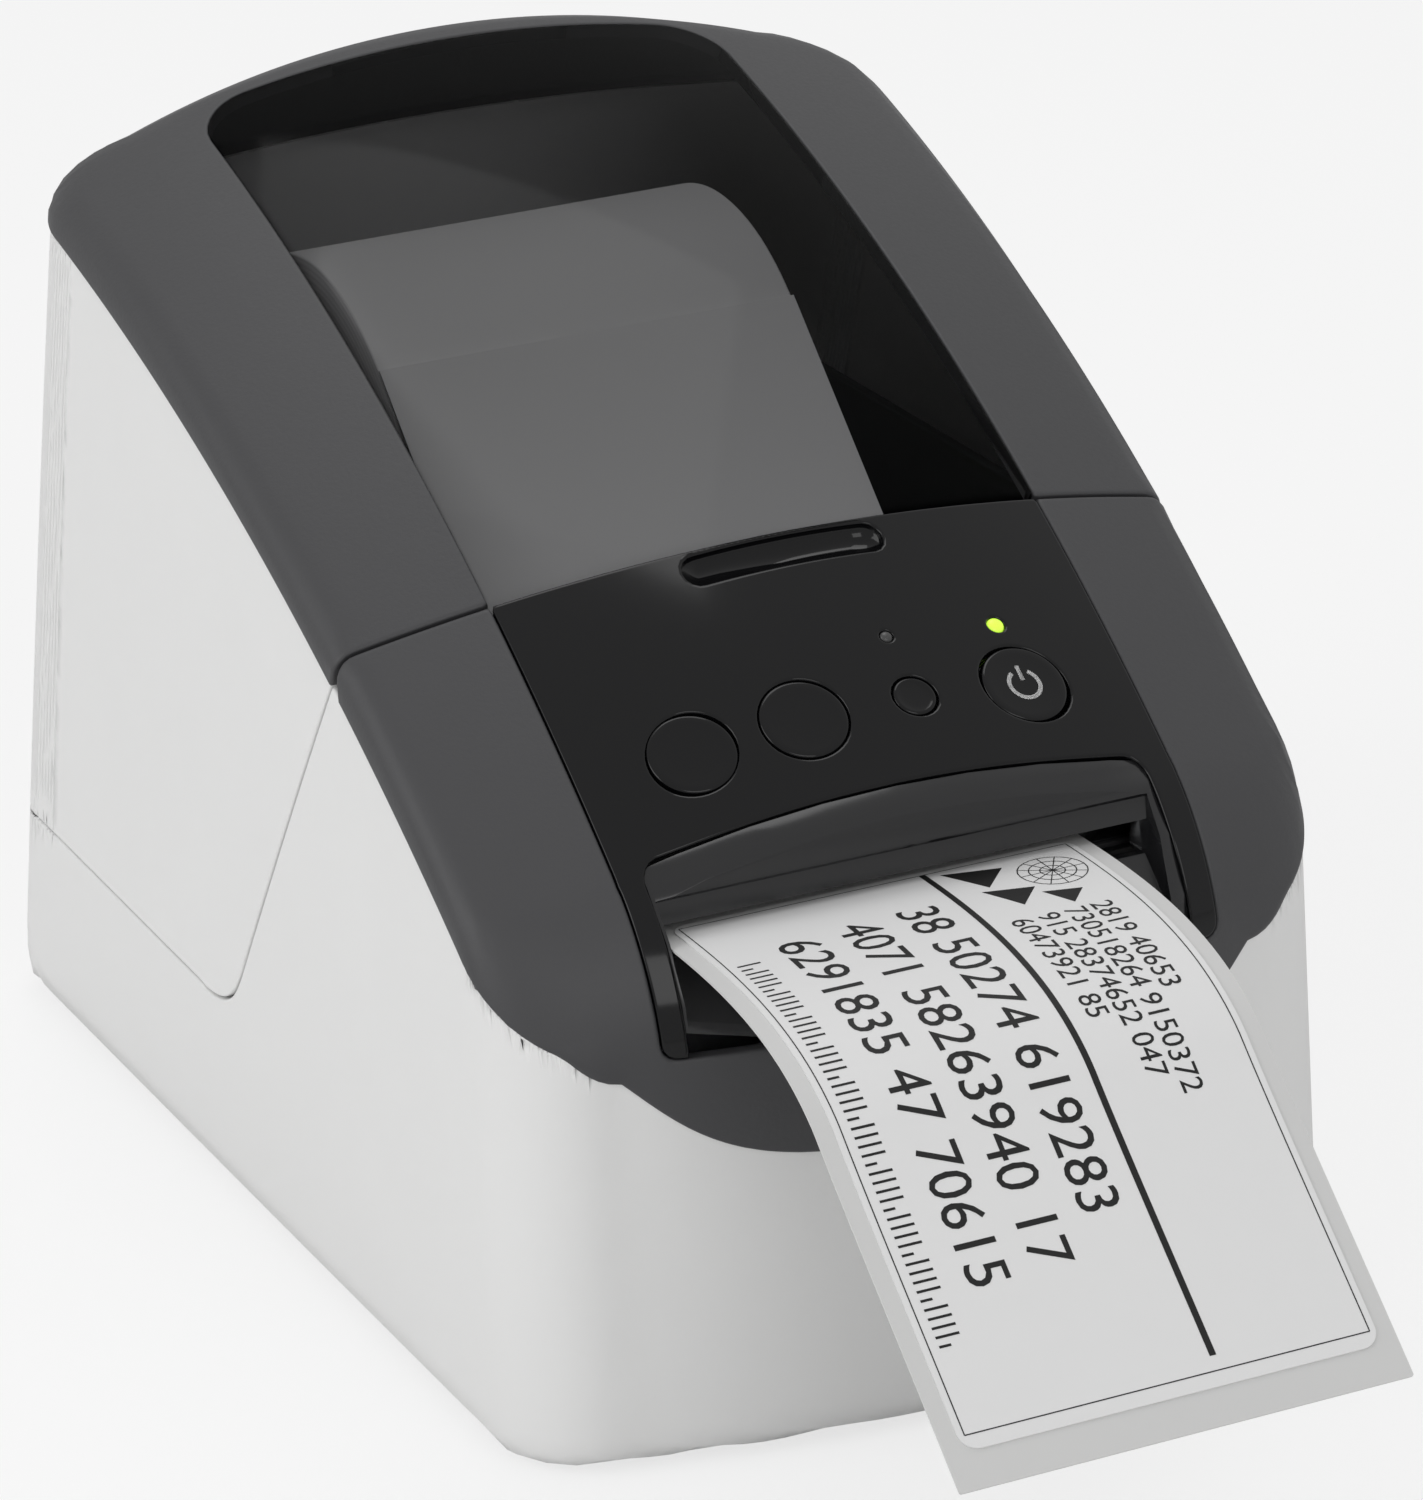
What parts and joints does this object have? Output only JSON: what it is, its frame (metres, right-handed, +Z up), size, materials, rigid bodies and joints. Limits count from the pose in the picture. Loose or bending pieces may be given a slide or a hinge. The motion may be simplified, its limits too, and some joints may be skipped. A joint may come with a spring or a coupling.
{
  "type": "label printer",
  "caption": "Desktop thermal label printer with a hinged windowed cover over a wide label roll, a sloping key panel, a geared feed, a guillotine cutter and a printed label leaving the slot.",
  "frame": {"origin": "on the table plane the feet stand on, on the middle line of the case, midway along the case", "axes": "+X to the right seen from the front, +Y to the back, +Z up; the label comes out towards -Y"},
  "size_m": [0.1272, 0.2889, 0.1524],
  "materials": {
    "white_case": "fine satin moulding",
    "dark_band": "fine spark-eroded grain",
    "gloss_black": "high gloss",
    "smoked_window": "clear smoked",
    "green_light": "diffusing, lit",
    "clear_light": "diffusing, unlit",
    "inner_plastic": "moulded",
    "nylon": "natural",
    "steel_parts": "zinc or ground",
    "motor_cans": "zinc grey",
    "label_paper": "matt coated",
    "liner_paper": "glazed",
    "platen_rubber": "ground",
    "feet_rubber": "moulded",
    "circuit_board": "solder mask",
    "supply_case": "plated",
    "inlet_black": "moulded"
  },
  "bodies": {
    "chassis": {"lower_case": "white_case", "base_pan": "inner_plastic", "front_bezel": "dark_band", "control_panel": "gloss_black", "exit_chute": "gloss_black", "status_light": "green_light", "mode_light": "clear_light", "button_board": "circuit_board", "hinge_pins": "steel_parts", "spool_guide_left": "inner_plastic", "spool_guide_right": "inner_plastic", "roll_tub": "inner_plastic", "label_tape": "label_paper", "cut_liner": "liner_paper", "printed_label": "label_paper", "platen_bushes": "nylon", "idler_axle": "steel_parts", "feed_motor": "motor_cans", "side_frame_left": "steel_parts", "side_frame_right": "steel_parts", "frame_bridge": "steel_parts", "head_pivot": "steel_parts", "head_spring": "steel_parts", "fixed_blade": "steel_parts", "cutter_guides": "inner_plastic", "cutter_motor": "motor_cans", "main_board": "circuit_board", "power_supply": "supply_case", "power_inlet": "inlet_black", "usb_port": "steel_parts", "rubber_feet": "feet_rubber", "base_screws": "steel_parts"},
    "cover": {"cover_shell": "white_case", "cover_top": "dark_band", "cover_window": "smoked_window", "cover_latches": "dark_band"},
    "feed_key": {"feed_button": "gloss_black"},
    "cut_key": {"cut_button": "gloss_black"},
    "mode_key": {"mode_button": "gloss_black"},
    "power_key": {"power_button": "gloss_black"},
    "spool": {"roll_spool": "inner_plastic", "label_roll": "label_paper"},
    "platen": {"platen_roller": "platen_rubber", "platen_shaft": "steel_parts", "platen_gear": "nylon"},
    "idler": {"idler_gear": "nylon"},
    "pinion": {"motor_pinion": "steel_parts"},
    "head": {"print_head": "inner_plastic"},
    "cutter_blade": {"moving_blade": "steel_parts"},
    "crank": {"cutter_crank": "nylon"}
  },
  "joints": [
    {"name": "cover_hinge", "type": "hinge", "parent": "chassis", "child": "cover", "pos_m": [0, 0.093, 0.038], "axis": [-1, 0, 0], "range_deg": [0, 70]},
    {"name": "feed_press", "type": "slide", "parent": "chassis", "child": "feed_key", "axis": [0.1139, 0.5905, -0.799], "range_m": [0, 0.0006], "stiffness_N_per_m": 400, "springref_m": -0.0005},
    {"name": "cut_press", "type": "slide", "parent": "chassis", "child": "cut_key", "axis": [0.0382, 0.5939, -0.8036], "range_m": [0, 0.0006], "stiffness_N_per_m": 400, "springref_m": -0.0005},
    {"name": "mode_press", "type": "slide", "parent": "chassis", "child": "mode_key", "axis": [-0.0382, 0.5939, -0.8036], "range_m": [0, 0.0006], "stiffness_N_per_m": 400, "springref_m": -0.0005},
    {"name": "power_press", "type": "slide", "parent": "chassis", "child": "power_key", "axis": [-0.1139, 0.5905, -0.799], "range_m": [0, 0.0006], "stiffness_N_per_m": 400, "springref_m": -0.0005},
    {"name": "roll_turn", "type": "hinge", "parent": "chassis", "child": "spool", "pos_m": [0, 0.014, 0.097], "axis": [1, 0, 0], "continuous": true},
    {"name": "platen_turn", "type": "hinge", "parent": "chassis", "child": "platen", "pos_m": [0, -0.074, 0.0637], "axis": [1, 0, 0], "continuous": true},
    {"name": "idler_turn", "type": "hinge", "parent": "chassis", "child": "idler", "pos_m": [0, -0.06401, 0.04188], "axis": [1, 0, 0], "continuous": true},
    {"name": "pinion_turn", "type": "hinge", "parent": "chassis", "child": "pinion", "pos_m": [0, -0.04704, 0.03289], "axis": [1, 0, 0], "continuous": true},
    {"name": "head_lift", "type": "hinge", "parent": "chassis", "child": "head", "pos_m": [0, -0.066, 0.0795], "axis": [-1, 0, 0], "range_deg": [0, 6], "stiffness_Nm_per_rad": 0.2, "springref_deg": -17.19},
    {"name": "blade_stroke", "type": "slide", "parent": "chassis", "child": "cutter_blade", "axis": [0, 0, -1], "range_m": [0, 0.00565]},
    {"name": "crank_turn", "type": "hinge", "parent": "chassis", "child": "crank", "pos_m": [0.038, -0.085, 0.072], "axis": [0, -1, 0], "range_deg": [0, 90]}
  ],
  "couplings": [
    {"joint": "platen_turn", "follows": "roll_turn", "ratio": 5.9167},
    {"joint": "idler_turn", "follows": "roll_turn", "ratio": -3.9444},
    {"joint": "pinion_turn", "follows": "roll_turn", "ratio": 11.833},
    {"joint": "crank_turn", "follows": "blade_stroke", "rad_per_m": 277.6}
  ]
}
